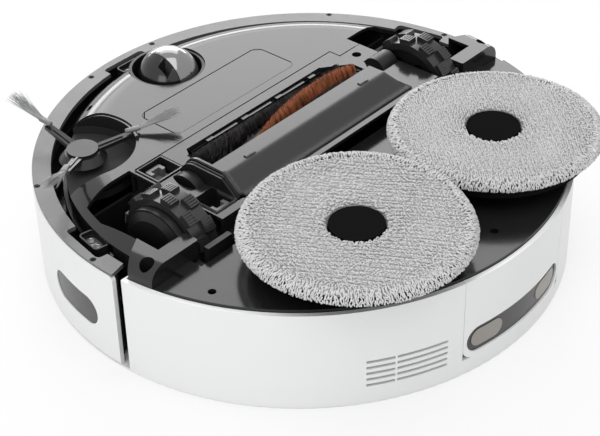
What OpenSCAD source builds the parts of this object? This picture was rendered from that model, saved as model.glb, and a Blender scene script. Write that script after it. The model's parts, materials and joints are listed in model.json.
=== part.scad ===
// Robot vacuum cleaner with two spinning mop pads.
// It lies on its flat top cover, so +Z points out of its underside.
// -Y is the front (bumper side), +X is the side of the side brush.

/* [Body] */
// Outer diameter of the round body
body_d = 350; // [344:1:356]
// Height of the side wall, from the top cover's face to the underside's rim
rim_z = 71; // [70:0.5:73]
// Thickness of the outer walls
wall_t = 3; // [2.5:0.1:3.5]
// Rise of the front floor plate above the rim
front_rise = 13; // [11:0.5:14]
// Rise of the rear floor plate above the rim
rear_rise = 2; // [1:0.5:3]
// Where the rear side wall starts, behind the wheel axis
wall_front_y = 12; // [11:1:14]
// Where the bumper ends, behind the wheel axis
bumper_back_y = 4.5; // [3:0.5:5]

/* [Bumper] */
// Travel of the bumper when it is pushed in
bumper_travel = 3; // [2:0.5:3]
// Width of the flat lip round the underside
lip_w = 12.5; // [11:0.5:12.5]
// Height of the side windows
ir_h = 20.5; // [16:0.5:22]
// Length of the side windows
ir_l = 49; // [40:1:52]

/* [Drive wheels] */
// Radius over the tread blocks
tyre_r = 34; // [32:0.5:34.5]
// Width of the tyre
tyre_w = 18; // [16:1:18]
// Distance of each tyre's middle plane from the centre
wheel_x = 119.3; // [118.5:0.1:119.5]
// Height of the axle above the floor that the cover lies on
axle_z = 64; // [62:0.5:65]
// Tread blocks in each row
tread_count = 12; // [10:1:14]

/* [Main brush] */
// Radius over the bristles
brush_r = 20; // [19:0.5:20]
// Radius of the brush core
brush_core_r = 11; // [9:0.5:12]
// Height of the brush axis
brush_z = 71.5; // [70:0.5:73]
// Position of the brush axis, along Y
brush_y = -18.5; // [-19:0.5:-18]
// Growth of the bristle rows' turn towards the side brush's end
row_curl = 0.007; // [0.004:0.001:0.008]

/* [Mops] */
// Radius of a mop pad
pad_r = 67.3; // [65:0.1:67.3]
// Position of the +X mop axis, along X
mop_x_right = 69.6; // [69.6:0.2:71]
// Position of the -X mop axis, along X
mop_x_left = -65.4; // [-67:0.2:-65.4]
// Position of the mop axes, along Y
mop_y = 103; // [102:0.5:106]
// Radius of the bare hub in the middle of a pad
pad_hole_r = 17.3; // [14:0.1:20]
// Height of the pads' faces
pad_top_z = 98; // [96:0.5:99]
// Thickness of a pad
pad_t = 8; // [6:0.5:9]

/* [Side brush] */
// Position of the side brush axis, along X
side_x = 103; // [101:1:104]
// Position of the side brush axis, along Y
side_y = -97; // [-98:1:-96]
// Number of arms
side_arms = 3; // [2:1:6]
// Length of an arm from the axis to its tip
arm_l = 34; // [28:1:36]
// Reach of the bristles from the axis
bristle_reach = 66; // [60:1:66]

/* [Caster] */
// Position of the caster's swivel axis, along Y
caster_y = -123; // [-124:1:-121]
// Radius of the caster socket
caster_r = 26; // [25:0.5:27]

/* [Hidden] */
$fn = 96;
eps = 0.01;
gap = 0.3;
body_r = body_d / 2;
front_z = rim_z + front_rise;
rear_z = rim_z + rear_rise;
plate_t = 2.5;
// Front floor plate: its radius, the shift of its centre to the rear, and its sloping edge
front_r = body_r - lip_w - 6.5;
front_shift = 2.5;
slope_w = 25;
slope_r = 31.7;
// Rounded edge of the wheel covers
edge_r = 11;
// Inner deck that carries the inside parts
deck_z0 = 4;
deck_z1 = 6.5;
// Wheel wells
well_x0 = 105.5;
well_x1 = 148;
well_y0 = -51;
well_y1 = 55;
well_wall = 2;
// Rear ends of the opening in the floor: beside the cover's arm, and under the cover
well_open_y = 41;
cover_x0 = 151.3;
cover_y1 = 32;
// Suspension pivot, relative to the floor
pivot_y = 43;
pivot_z = 58;
// Main brush length and guard
brush_x0 = -80;
brush_x1 = 78;
bristle_x0 = -72.3;
bristle_x1 = 70.5;
guard_x0 = -83.3;
guard_x1 = 81.5;
guard_y0 = -47.6;
guard_y1 = 24.5;
guard_z = front_z + 1;
bar_z = rim_z + 24;
// Distance of the cliff sensors from the centre
sensor_r = body_r - 17.5;
bar_y0 = -4;
bar_y1 = 9;
// Contact panel at the rear, and the window in it
panel_w = 99;
panel_z0 = 12;
window_z = 24.5;
window_l = 93.5;
window_h = 19;
// Screws in the rear floor
rear_screws = [[0, 152], [-150, 62], [150, 62]];
// Front edges of the two latch pockets
latch_y = [-47.4, 1];
// Screws in the bumper's lip
lip_screws = [
    for (s = [-1, 1], p = [[171.3, -15], [141.8, -98], [29.5, -168.7]]) [s * p[0], p[1]]
];
// Bowl of the side brush
bowl_x = 106;
bowl_y = -98;
bowl_r = 39.5;
// Screw in each wheel cover
cover_screw = [163.7, 23.8];
// Caster roller: radius, and its axle's place behind and along the swivel axis
roller_r = 21;
caster_trail = 1.4;
caster_axle_z = 76.3;
// Turn of a bristle row: the least one, and where it is
row_lead = -17;
row_turn_x = -48;
// Fan axis
fan_x = 70;
fan_y = 62;

// ---- Shapes that several pieces use ----

module slab(x0, x1, y0, y1, z0, z1) {
    translate([x0, y0, z0]) cube([x1 - x0, y1 - y0, z1 - z0]);
}
module disc(r, z0, z1) {
    translate([0, 0, z0]) cylinder(h = z1 - z0, r = r);
}
module tube(ro, ri, z0, z1) {
    difference() {
        disc(ro, z0, z1);
        disc(ri, z0 - 1, z1 + 1);
    }
}
module rounded_rect(x0, x1, y0, y1, r) {
    for (x = [x0 + r, x1 - r], y = [y0 + r, y1 - r]) translate([x, y]) circle(r, $fn = 32);
    translate([x0 + r, y0]) square([x1 - x0 - 2 * r, y1 - y0]);
    translate([x0, y0 + r]) square([x1 - x0, y1 - y0 - 2 * r]);
}
module rounded_slab(x0, x1, y0, y1, z0, z1, r) {
    translate([0, 0, z0]) linear_extrude(z1 - z0) rounded_rect(x0, x1, y0, y1, r);
}
module stadium(l, h) {
    for (s = [-1, 1]) translate([s * (l - h) / 2, 0]) circle(d = h, $fn = 48);
    translate([-(l - h) / 2, -h / 2]) square([l - h, h]);
}
// A stadium-shaped bar that points outwards at an angle from the rear, +Y
module radial_stadium(angle, z, l, h, r0, r1) {
    rotate([0, 0, -angle]) translate([0, r1, z]) rotate([90, 0, 0])
        linear_extrude(r1 - r0) stadium(l, h);
}
// Everything in front of, or behind, a line along X
module front_of(y) {
    slab(-200, 200, -200, y, -10, 120);
}
module behind(y) {
    slab(-200, 200, y, 200, -10, 120);
}
// A bar along X, from one x to another
module x_bar(x0, x1, y, z, r) {
    translate([x0, y, z]) rotate([0, 90, 0]) cylinder(h = x1 - x0, r = r);
}
module both_sides() {
    children();
    mirror([1, 0, 0]) children();
}

// ---- Outer casing ----

module top_cover() {
    edge = 0.9;
    face_r = body_r - 0.4;
    color("white") difference() {
        union() {
            rotate_extrude() {
                square([face_r - edge, 1.8]);
                translate([0, edge]) square([face_r, 1.8 - edge]);
                translate([face_r - edge, edge]) circle(edge, $fn = 32);
            }
            disc(body_r - 15, 1.8, deck_z0);
        }
        for (x = [-15, 15]) translate([x, -60, -1]) cylinder(h = 6, r = 9);
    }
}
module side_wall() {
    color("white") difference() {
        intersection() {
            union() {
                tube(body_r, body_r - wall_t, 2, rim_z);
                // Return at each front end
                intersection() {
                    tube(body_r - 1, body_r - 5.8, 8, rim_z);
                    front_of(wall_front_y + 1.3);
                }
            }
            behind(wall_front_y);
        }
        // Exhaust slots, with a small rib about two thirds along
        for (i = [0 : 4]) difference() {
            translate([0, 0, 14 + 4.4 * i]) rotate([0, 0, 90 - 37])
                rotate_extrude(angle = 17) translate([body_r - 10, 0]) square([20, 2]);
            rotate([0, 0, -31]) slab(-0.6, 0.6, body_r - 20, body_r + 20, 0, rim_z);
        }
        // Recess for the contact panel
        slab(-panel_w / 2, panel_w / 2, body_r - 20, body_r + 5, panel_z0, rim_z + 1);
    }
}
module inner_frame() {
    color("dimgray") {
        difference() {
            union() {
                disc(body_r - 11.5, deck_z0 + eps, deck_z1);
                intersection() {
                    tube(body_r - wall_t - 0.1, body_r - 14, 2 + eps, deck_z1);
                    behind(wall_front_y + 1);
                }
            }
            for (x = [-15, 15]) translate([x, -60, 0]) cylinder(h = 20, r = 6);
        }
        // Wall behind the bumper
        difference() {
            intersection() {
                tube(front_r, front_r - plate_t, deck_z1, rim_z - 14.2);
                front_of(well_y0 - 4);
            }
            at_cliff_sensors() slab(-14, 14, -9, 12, 50, 60);
        }
        // Ribs and screw bosses
        for (x = [-60, 0, 60]) translate([x, -146, deck_z1]) difference() {
            cylinder(h = 40, r = 4);
            translate([0, 0, 10]) cylinder(h = 40, r = 1.4);
        }
    }
}

// ---- Underside ----

// Plan of the opening round one drive wheel, on the +X side
module well_plan(grow) {
    intersection() {
        translate([well_x0 - grow, well_y0 - grow])
            square([well_x1 - well_x0 + 2 * grow, 2 - well_y0 + 2 * grow]);
        translate([0, front_shift]) circle(front_r - 4 + grow);
    }
    polygon([
        [well_x0 - grow, 1], [cover_x0 + grow, 1], [cover_x0 + grow, cover_y1 + grow],
        [137 + grow, cover_y1 + grow], [137 + grow, well_open_y + grow],
        [well_x0 - grow, well_open_y + grow]
    ]);
}
// Plan of a wheel cover's shell, with its slanting front edge, on the +X side
module cover_plan(grow) {
    x0 = cover_x0 + 0.3 - grow;
    polygon([
        [x0, 3.2 - grow], [200, 3.2 - grow + 0.585 * (200 - cover_x0)],
        [200, cover_y1 + grow], [x0, cover_y1 + grow]
    ]);
}
module base_plate() {
    deck_z = front_z - plate_t;
    color([0.16, 0.16, 0.17]) difference() {
        union() {
            // Rear floor
            intersection() {
                disc(body_r - wall_t - gap, rear_z - plate_t, rear_z);
                behind(guard_y1 + 2.5);
            }
            // Front floor, one shell with a sloping edge
            intersection() {
                front_floor();
                front_of(guard_y1 + 4.5);
            }
            // Step between the two floors
            slab(-well_x0 + 2, well_x0 - 2, guard_y1 + 2.5, guard_y1 + 4.5, rear_z - plate_t, front_z);
            latch_tray();
            both_sides() cover_ledge();
            // Boss under the small screw plate
            translate([-93.3, -31.8, 0]) disc(5.2, 71, front_z - eps);
        }
        both_sides() translate([0, 0, rim_z - 20]) linear_extrude(50) well_plan(0);
        // Openings under the wheel covers
        both_sides() translate([0, 0, 68.5]) linear_extrude(50) intersection() {
            cover_plan(gap);
            translate([cover_x0 - 1, 0]) square([50, cover_y1 + gap]);
        }
        both_sides() translate([0, 0, 50]) linear_extrude(15) cover_plan(gap);
        // Front floor behind the wheel covers' front edges
        both_sides() difference() {
            slab(cover_x0 - 1, 200, 0, 40, 71 + eps, 120);
            translate([0, 0, 60]) linear_extrude(70) polygon([
                [140, -1], [140, 2.9], [cover_x0, 2.9], [200, 2.9 + 0.585 * (200 - cover_x0)], [200, -1]
            ]);
        }
        // Brush bay
        slab(guard_x0, guard_x1 + eps, guard_y0, guard_y1 + 4.5 + eps, rim_z - 10, deck_z + 0.1);
        slab(guard_x0, guard_x1 + eps, guard_y0, guard_y1, rim_z - 10, 120);
        // Arch of the brush housing, and the gearbox bumps
        slab(guard_x1, 85.3, -27.8, 23.4, rim_z - 10, 120);
        slab(85.3 - eps, 106, -25.4, -4.2, rim_z - 10, deck_z + 0.1);
        intersection() {
            slab(85, 97, -25.4, -4.2, deck_z, 120);
            translate([77.2, -14.8, 0]) disc(18.8, 60, 120);
        }
        slab(-well_x0 + 1, -86, -24.5, -1.5, rim_z - 10, deck_z + 0.1);
        slab(-well_x0 + 0.9, -88.7, -22.3, -3.7, deck_z, 120);
        // Latch pockets
        slab(guard_x1, 103.8, latch_y[0] - 0.3, latch_y[0] + 21.2, 69, 120);
        slab(85, 104.4, latch_y[1] - 0.3, latch_y[1] + 22.1, 69, 120);
        // Small screw plate: its front seam and screw hole
        slab(-well_x0 - 1, guard_x0 + eps, -39.8, -39.3, front_z - 0.7, 120);
        translate([-93.3, -31.8, 0]) disc(3.3, 74, 120);
        translate([-93.3, -31.8, 0]) disc(1.3, 60, 120);
        // Caster socket
        translate([0, caster_y, 0]) disc(caster_r + gap, rim_z - 20, 120);
        // Bowl of the side brush
        translate([bowl_x, bowl_y, 0]) disc(bowl_r, rim_z - 20, 120);
        // Battery cover
        rounded_slab(-57, 57, -92, -56, front_z - 1.5, 120, 5);
        // Sensor notches
        at_cliff_sensors() slab(-13.4, 13.4, -9, 6, rim_z - 30, rim_z - 0.5);
        // Small sensor slots in the sloping edge
        translate([-57, -139.5, 0]) rotate([0, 0, -22]) translate([0, 0, rim_z - 5])
            linear_extrude(40) stadium(13, 5);
        translate([66, -130, 0]) rotate([0, 0, 27]) translate([0, 0, rim_z - 5])
            linear_extrude(40) stadium(7, 3.4);
        // Screw holes
        for (p = rear_screws) translate([p[0], p[1], 0]) disc(2.6, rim_z - 5, rear_z + 5);
        // Holes for the mop spindles
        at_mops() disc(9, rim_z - 10, 120);
    }
    // Bowl under the side brush
    color([0.16, 0.16, 0.17]) intersection() {
        difference() {
            translate([bowl_x, bowl_y, 0]) union() {
                tube(bowl_r + eps, bowl_r - 2, rim_z - 3, front_z);
                disc(bowl_r, rim_z - 5, rim_z - 3);
            }
            translate([side_x, side_y, 0]) disc(8, 0, 120);
            linear_extrude(120) well_plan(2);
        }
        front_envelope(1);
    }
}
// Room inside the front floor's outer surface
module front_envelope(inset) {
    translate([0, front_shift, 0]) rotate_extrude() floor_section(inset, rim_z - 14);
}
module floor_section(inset, z0) {
    intersection() {
        union() {
            translate([0, z0]) square([front_r - slope_w, front_z - inset - z0]);
            translate([front_r - slope_w, front_z - slope_r]) circle(slope_r - inset);
        }
        translate([0, z0]) square([front_r - inset, 60]);
    }
}
// Tray that the latch frames stand on
module latch_tray() {
    z0 = rim_z - 4.6;
    y1 = guard_y1 + 4.5;
    slab(guard_x1 + 4, well_x0 - 0.2, guard_y0 - 2, y1, z0, z0 + plate_t);
    slab(guard_x1 + 4, well_x0 - 0.2, guard_y0 - 2, guard_y0, z0, front_z - 1);
    slab(guard_x1 + 4, well_x0 - 0.2, y1 - 2, y1, z0, front_z - 1);
}
// Ledge that a wheel cover is screwed to, on the +X side
module cover_ledge() {
    intersection() {
        union() {
            slab(157, 175, 13.6, cover_y1 + 4, 66, 68.5);
            slab(well_x1 + 0.3, 175, cover_y1 + 0.5, cover_y1 + 4, 66, rear_z - 1);
        }
        disc(body_r - wall_t - gap, 60, 80);
    }
}
module front_floor() {
    translate([0, front_shift, 0]) rotate_extrude() difference() {
        floor_section(0, rim_z - 14);
        floor_section(plate_t, rim_z - 15);
    }
}
// L-shaped cover beside a wheel, with its arm behind the tyre, on the +X side
module wheel_cover() {
    color([0.2, 0.2, 0.21]) difference() {
        union() {
            intersection() {
                cover_shell(plate_t);
                linear_extrude(120) cover_plan(0);
            }
            // Side walls, and the tube round the screw
            intersection() {
                cover_shell(40);
                union() {
                    slab(cover_x0 + 0.3, 175, cover_y1 - plate_t, cover_y1, 60, 120);
                    linear_extrude(120) difference() {
                        cover_plan(0);
                        translate([0, 2.2]) cover_plan(0);
                        translate([0, 10]) square([155, 40]);
                    }
                    translate([cover_screw[0], cover_screw[1], 0]) disc(6.4, 60, 120);
                }
            }
            rounded_slab(129.5, cover_x0 + 4, 21, cover_y1, front_z - plate_t, front_z, 1.5);
            slab(130, cover_x0 + 1, cover_y1 - plate_t, cover_y1, 70.6, front_z - 1);
        }
        translate([cover_screw[0], cover_screw[1], 0]) disc(4.5, 72, 120);
        translate([cover_screw[0], cover_screw[1], 0]) disc(1.6, 0, 120);
    }
}
// Flat top with a rounded edge down to the rim
module cover_shell(t) {
    r = body_r - wall_t - gap;
    z0 = 68.6;
    rotate_extrude() difference() {
        union() {
            translate([r - 40, z0]) square([40 - edge_r, front_z - z0]);
            translate([r - 40, z0]) square([40, front_z - z0 - edge_r]);
            translate([r - edge_r, front_z - edge_r]) circle(edge_r);
        }
        translate([0, 50]) square([r - edge_r, front_z - t - 50]);
        translate([0, 50]) square([r - t, front_z - edge_r - 50]);
        if (t < edge_r) translate([r - edge_r, front_z - edge_r]) circle(edge_r - t);
        translate([0, 40]) square([200, z0 - 40]);
    }
}
module wheel_cover_left() {
    mirror([1, 0, 0]) wheel_cover();
}
module wheel_cover_right() {
    wheel_cover();
}
// Tub that the drive wheel drops into, open towards the floor, on the +X side
module wheel_well() {
    z0 = deck_z1 + eps;
    color([0.1, 0.1, 0.1]) intersection() {
        difference() {
            slab(well_x0, well_x1, well_y0, well_y1, z0, rim_z - 3);
            slab(well_x0 + well_wall, well_x1 - well_wall, well_y0 + well_wall,
                 well_y1 - well_wall, z0 + well_wall, 120);
            x_bar(well_x0 - 1, well_x1 + 1, pivot_y, pivot_z, 3.06);
        }
        // Kept inside the front floor's wall
        union() {
            translate([0, front_shift, 0]) disc(front_r - plate_t - 0.2, 0, 120);
            behind(2);
        }
    }
}
module wheel_well_left() {
    mirror([1, 0, 0]) wheel_well();
}
module wheel_well_right() {
    wheel_well();
}
module battery_cover() {
    color([0.2, 0.2, 0.21])
        rounded_slab(-57 + gap, 57 - gap, -92 + gap, -56 - gap, front_z - 1.5 + eps, front_z, 4.7);
}
module base_screws() {
    color("gray") {
        for (p = rear_screws) translate([p[0], p[1], rear_z - plate_t - 3]) pan_head(2.4);
        both_sides() translate([cover_screw[0], cover_screw[1], 72 + eps]) pan_head(3.4);
        translate([-93.3, -31.8, 74 + eps]) pan_head(2.6);
    }
}
module pan_head(r) {
    difference() {
        cylinder(h = 1.4, r = r);
        for (a = [0, 90]) rotate([0, 0, a]) translate([-r * 0.6, -0.4, 0.8]) cube([r * 1.2, 0.8, 2]);
    }
}

// ---- Rear contacts ----

module contact_panel() {
    color("white") difference() {
        intersection() {
            tube(body_r, body_r - wall_t, panel_z0, rim_z);
            translate([0, body_r, 0]) rotate([90, 0, 0]) linear_extrude(40, center = true)
                panel_outline(panel_w - 2 * gap);
        }
        radial_stadium(0, window_z, window_l, window_h, body_r - 30, body_r + 10);
    }
}
// Panel with two round corners on the side of the top cover
module panel_outline(w) {
    r = 8;
    translate([-w / 2, panel_z0 + r]) square([w, rim_z - panel_z0 - r]);
    translate([-w / 2 + r, panel_z0]) square([w - 2 * r, rim_z - panel_z0]);
    for (s = [-1, 1]) translate([s * (w / 2 - r), panel_z0 + r]) circle(r, $fn = 48);
}
module contact_window() {
    color([0.12, 0.12, 0.12]) intersection() {
        tube(body_r - 1.2, body_r - wall_t, 0, rim_z);
        difference() {
            radial_stadium(0, window_z, window_l - gap, window_h - gap, body_r - 30, body_r + 10);
            for (a = [-10, 10]) radial_stadium(a, window_z, 26, 13, body_r - 40, body_r + 10);
        }
    }
}
module charge_contacts() {
    color("silver") intersection() {
        tube(body_r - 0.8, body_r - 6, 0, rim_z);
        for (a = [-10, 10]) radial_stadium(a, window_z, 26 - gap, 13 - gap, body_r - 30, body_r + 10);
    }
}

// ---- Sensors ----

// Housing of one cliff sensor at the very front, and its lens pair
module cliff_housing() {
    difference() {
        union() {
            rounded_slab(-10, 10, -7.5, 3.4, rim_z - 16, rim_z - 0.5, 3);
            slab(-13, 13, -3.5, 3.4, rim_z - 16, rim_z - 8);
        }
        rounded_slab(-9, 9, -6.5, 2.4, rim_z - 3, rim_z + 5, 2);
        translate([0, -2, rim_z - 5]) linear_extrude(10) stadium(15, 7);
    }
}
module cliff_lens_pair() {
    translate([0, -2, rim_z - 5 + eps]) linear_extrude(1.2) stadium(15 - gap, 7 - gap);
    for (x = [-3.8, 3.8]) translate([x, -2, rim_z - 3.8]) intersection() {
        translate([0, 0, -3]) sphere(4.6, $fn = 48);
        cylinder(h = 5, r = 3, $fn = 32);
    }
}
module at_cliff_sensors() {
    translate([0, -sensor_r, 0]) children();
    both_sides() rotate([0, 0, 79.3]) translate([0, -sensor_r, 0]) children();
}
module cliff_sensors() {
    color([0.14, 0.14, 0.14]) at_cliff_sensors() cliff_housing();
}
module cliff_lenses() {
    color([0.35, 0.3, 0.3]) at_cliff_sensors() cliff_lens_pair();
}

// ---- Inside ----

module battery_pack() {
    color("royalblue") {
        for (i = [-2 : 2]) x_cell(i * 18.6);
        slab(-47, 47, -90, -88.5, 62.2, 79.5);
    }
}
module x_cell(x) {
    translate([x, -88.5, 71]) rotate([-90, 0, 0]) cylinder(h = 32, r = 9.25);
}
module main_board() {
    color("darkgreen") difference() {
        slab(-88, 88, -104, -58, 9, 10.6);
        for (x = [-15, 15]) translate([x, -60, 0]) disc(8.5, 0, 120);
    }
    color([0.1, 0.1, 0.1]) {
        slab(-40, -18, -92, -74, 10.6 + eps, 13);
        slab(20, 34, -96, -84, 10.6 + eps, 12.4);
        slab(60, 84, -90, -70, 10.6 + eps, 18);
    }
}
module dust_bin() {
    color([0.3, 0.3, 0.32, 0.8]) difference() {
        rounded_slab(-84, 34, 30, 87, 8, 66, 6);
        rounded_slab(-82, 32, 32, 85, 10, 64, 4);
        slab(-40, 20, 25, 40, 46, 58);
        slab(-83, -83 + 200, 45, 80, 22, 50);
    }
}
module bin_filter() {
    color("ghostwhite") union() {
        slab(34 + eps, 38, 43, 82, 20, 52);
        for (i = [0 : 11]) slab(38, 41, 45 + 3.1 * i, 46.2 + 3.1 * i, 23, 49);
    }
}
module fan_housing() {
    color([0.15, 0.15, 0.15]) translate([fan_x, fan_y, 0]) {
        difference() {
            disc(28, 12, 45);
            disc(26, 14, 43);
            disc(10, 0, 120);
        }
    }
}
module fan_impeller() {
    color("lightgray") translate([fan_x, fan_y, 0]) {
        disc(22, 18, 20);
        disc(6, 18, 40);
        for (a = [0 : 40 : 320]) rotate([0, 0, a]) slab(5, 21.5, -0.6, 0.6, 19, 38);
    }
}
module exhaust_duct() {
    color([0.2, 0.2, 0.2]) rotate([0, 0, -29]) difference() {
        slab(-26, 26, 117, 168, 11, 36);
        slab(-24, 24, 100, 180, 13, 34);
    }
}
module water_tank() {
    color([0.75, 0.8, 0.85, 0.6]) difference() {
        rounded_slab(-46, 36, 97, 160, 38, 66, 8);
        rounded_slab(-44, 34, 99, 158, 40, 64, 6);
    }
}
module mop_gearboxes() {
    color([0.25, 0.25, 0.25]) at_mops() {
        difference() {
            union() {
                disc(15.5, 46, 64);
                disc(8.5, 64 - eps, rear_z + 1.5);
            }
            disc(4.05, 51.5, 120);
        }
    }
}
module side_brush_motor() {
    color([0.25, 0.25, 0.25]) translate([side_x, side_y, 0]) {
        difference() {
            union() {
                disc(12, 16, 62);
                disc(7.5, 62 - eps, rim_z + 0.5);
            }
            disc(3.05, 57.5, 120);
        }
    }
}
module brush_gearbox() {
    color([0.22, 0.22, 0.22]) {
        // Bumps that rise through the deck
        intersection() {
            x_bar(85.6, 93, -14.8, 74.7, 13.8);
            slab(80, 95, -25.1, -4.5, 62, 120);
        }
        x_bar(-104.3, -89, -13, 80.5, 9);
        slab(86.5, 103, -24.5, -4.5, 40, front_z - plate_t - 1);
        slab(-104, -88.5, -24, -2, 58, front_z - plate_t - 1);
    }
}
module speaker() {
    color([0.2, 0.2, 0.2]) translate([-96, -90, 0]) {
        disc(20, 14, 26);
        disc(11, 26, 34);
    }
}

// ---- Main brush bay ----

// A profile in Y and Z, carried along X
module x_extrude(x0, x1) {
    translate([x0, 0, 0]) rotate([90, 0, 90]) linear_extrude(x1 - x0) children();
}
module brush_housing() {
    z0 = 46;
    color([0.1, 0.1, 0.1]) difference() {
        union() {
            slab(guard_x0 + gap, brush_x1 + 3.7, -44.5, 14, z0, guard_z - 2.6);
            // Arch beside the guard's cheek, in three steps
            x_extrude(brush_x1 + 3.7 - eps, 82.9) arch_profile(bar_z - 1.4);
            x_extrude(82.8, 84) arch_profile(bar_z - 2.2);
            x_extrude(83.9, 85) arch_profile(bar_z - 1.8);
        }
        x_bar(brush_x0 - 1, brush_x1 + 1, brush_y, brush_z, brush_r + 1);
        slab(brush_x0 - 1, brush_x1 + 1, -42.4, brush_y + brush_r + 1, brush_z, 120);
        // Mouth of the duct to the dust bin
        slab(-40, 20, -8, 20, 52, 62);
        // Bearing seats of the brush
        x_bar(brush_x0 - 8, brush_x1 + 9, brush_y, brush_z, 3.06);
    }
}
module arch_profile(top) {
    cheek_profile(top);
    translate([-27, 62]) square([guard_y1 + 23.4, guard_z - 2.5 - 62 + eps]);
}
module bar_profile() {
    polygon([
        [bar_y0, bar_z], [bar_y1, bar_z], [guard_y1 - 3.5, guard_z], [guard_y1 - 0.3, guard_z],
        [guard_y1 - 0.3, guard_z - 2.5], [guard_y1 - 5, guard_z - 2.5], [bar_y1 - 1.5, bar_z - 2.5],
        [bar_y0, bar_z - 2.5]
    ]);
}
// Arched cheek over an end of the brush
module cheek_profile(top) {
    nose = 13;
    z0 = guard_z - 2.5;
    intersection() {
        translate([-14, top - nose]) circle(nose);
        translate([-40, z0]) square([60, 40]);
    }
    translate([-14, z0]) square([bar_y1 + 14, top - z0]);
    polygon([[bar_y1, top], [guard_y1 - 3.5, top - bar_z + guard_z], [guard_y1 - 3.5, z0], [bar_y1, z0]]);
}
module brush_guard() {
    z0 = guard_z - 2.5;
    color([0.3, 0.3, 0.31]) {
        difference() {
            slab(guard_x0 + gap, guard_x1 - gap, guard_y0 + gap, 0, z0, guard_z);
            // Window with slanting front corners, and a round nose at the side brush's end
            translate([0, 0, 60]) linear_extrude(60) difference() {
                polygon([
                    [brush_x0 - 0.5, 1], [brush_x0 - 0.5, -25], [-76.5, -28], [-62, -39.3], [66.4, -39.3],
                    [73.5, -28.5], [75.5, -27], [79, -27], [79, 1]
                ]);
                translate([76.5, -27.5]) circle(2.6, $fn = 32);
            }
            // Room for the bristle tips
            x_bar(bristle_x0 - 0.6, bristle_x1 + 1.2, brush_y, brush_z, brush_r + 0.4);
        }
        // Bar, with a sloping end
        difference() {
            x_extrude(brush_x0 - 1, brush_x1 + 1) bar_profile();
            bar_end_cut(0);
        }
        intersection() {
            x_extrude(brush_x0 - 1, -60) bar_envelope();
            difference() {
                bar_end_cut(-2.5);
                bar_end_cut(0);
            }
        }
        x_extrude(brush_x1 + 1 - eps, brush_x1 + 2.6) cheek_profile(bar_z);
        x_extrude(brush_x1 + 2.6 - eps, brush_x1 + 3.2) cheek_profile(bar_z - 0.5);
        slab(guard_x0 + gap, brush_x0 - 0.5 + eps, -1, guard_y1, z0, guard_z);
        // Rail under the front of the window, with its tabs and bars
        slab(-66, 64, -38.8, -37.6, z0 - 2.3, z0 - 0.4);
        for (i = [0 : 3]) {
            x = -52 + 33 * i;
            slab(x - 3, x + 3, -39.8, -36, z0 - 0.6, z0 + 1.4);
            if (i > 0) slab(x - 25, x - 2, -38, -36.2, z0 - 0.8, z0 + 1);
        }
        // Clip marks on the bar
        for (x = [-54, 56]) slab(x - 4, x + 4, bar_y0 + 8.5, bar_y0 + 11.5, bar_z - eps, bar_z + 0.8);
    }
}
// Filled outline of the bar
module bar_envelope() {
    polygon([
        [bar_y0, guard_z - 2.5], [bar_y0, bar_z], [bar_y1, bar_z], [guard_y1 - 3.5, guard_z],
        [guard_y1 - 3.5, guard_z - 2.5]
    ]);
}
// Everything beyond the slope at the bar's far end
module bar_end_cut(shift) {
    translate([-shift, 60, 0]) rotate([90, 0, 0]) linear_extrude(100)
        polygon([[brush_x0 - 0.9, guard_z], [-73, bar_z], [-73, 120], [-200, 120], [-200, guard_z]]);
}
// Rim of a latch pocket, 22 mm square
module latch_frame(x0, y, l) {
    difference() {
        rounded_slab(x0, 103.5, y, y + l, 69 + eps, guard_z - 0.2, 1);
        rounded_slab(x0 + 1.1, 102.4, y + 1.1, y + l - 1.1, 71, 120, 0.6);
    }
}
module latch_frames() {
    color([0.3, 0.3, 0.31]) {
        latch_frame(81.7, latch_y[0], 20.2);
        latch_frame(85.4, latch_y[1], 21.6);
    }
}
// Sliding latch with a hooked finger tab
module latch_tab() {
    rounded_slab(-7.8, 7.8, -5, 5, 71.3, 76, 1);
    difference() {
        rounded_slab(-6, 6, -3.5, 2.5, 76 - eps, 82, 0.8);
        slab(-3.4, 3.4, -1.2, 10, 75, 90);
    }
}
module front_latch() {
    color([0.22, 0.22, 0.22]) translate([92.5, latch_y[0] + 6.8, 0]) latch_tab();
}
module rear_latch() {
    color([0.22, 0.22, 0.22]) translate([94.4, latch_y[1] + 14.7, 0]) mirror([0, 1, 0]) latch_tab();
}

// ---- Main brush ----

module brush_core() {
    color([0.12, 0.12, 0.12]) {
        x_bar(brush_x0, brush_x1, brush_y, brush_z, brush_core_r);
        x_bar(brush_x0 - 5, brush_x1 + 5, brush_y, brush_z, 3);
        for (x = [brush_x0, brush_x1 - 2]) x_bar(x, x + 2, brush_y, brush_z, brush_core_r + 1);
    }
}
// Bristle rows that wind round the core, at the given phases
module bristle_rows(phases) {
    step = (bristle_x1 - bristle_x0) / 12;
    for (p = phases, i = [0 : 11]) bristle_part(p, bristle_x0 + i * step, step, 0.04 * (i % 2));
}
// Part of a row that laps over the next one; slim makes every second one a hair smaller
module bristle_part(phase, x, l, slim) {
    lap = 0.6;
    twist = (row_turn(x + l) - row_turn(x)) * (1 + lap / l);
    translate([x, brush_y, brush_z]) rotate([90, 0, 90])
        linear_extrude(l + lap, twist = twist, slices = 3, $fn = 4) rotate(90 - row_turn(x) - phase)
            polygon([
                [brush_core_r - 1, slim - 2.4], [brush_r - slim, slim - 1.6],
                [brush_r - slim, 1.6 - slim], [brush_core_r - 1, 2.4 - slim]
            ]);
}
// Angle of the leading row, from straight out of the floor towards the rear
function row_turn(x) = row_lead + (x > row_turn_x ? row_curl : 0.025) * pow(x - row_turn_x, 2);
module black_bristles() {
    color([0.08, 0.08, 0.08]) bristle_rows([60, 120, 240, 300]);
}
module orange_bristles() {
    color("peru") bristle_rows([0, 180]);
}

// ---- Bumper ----

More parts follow.
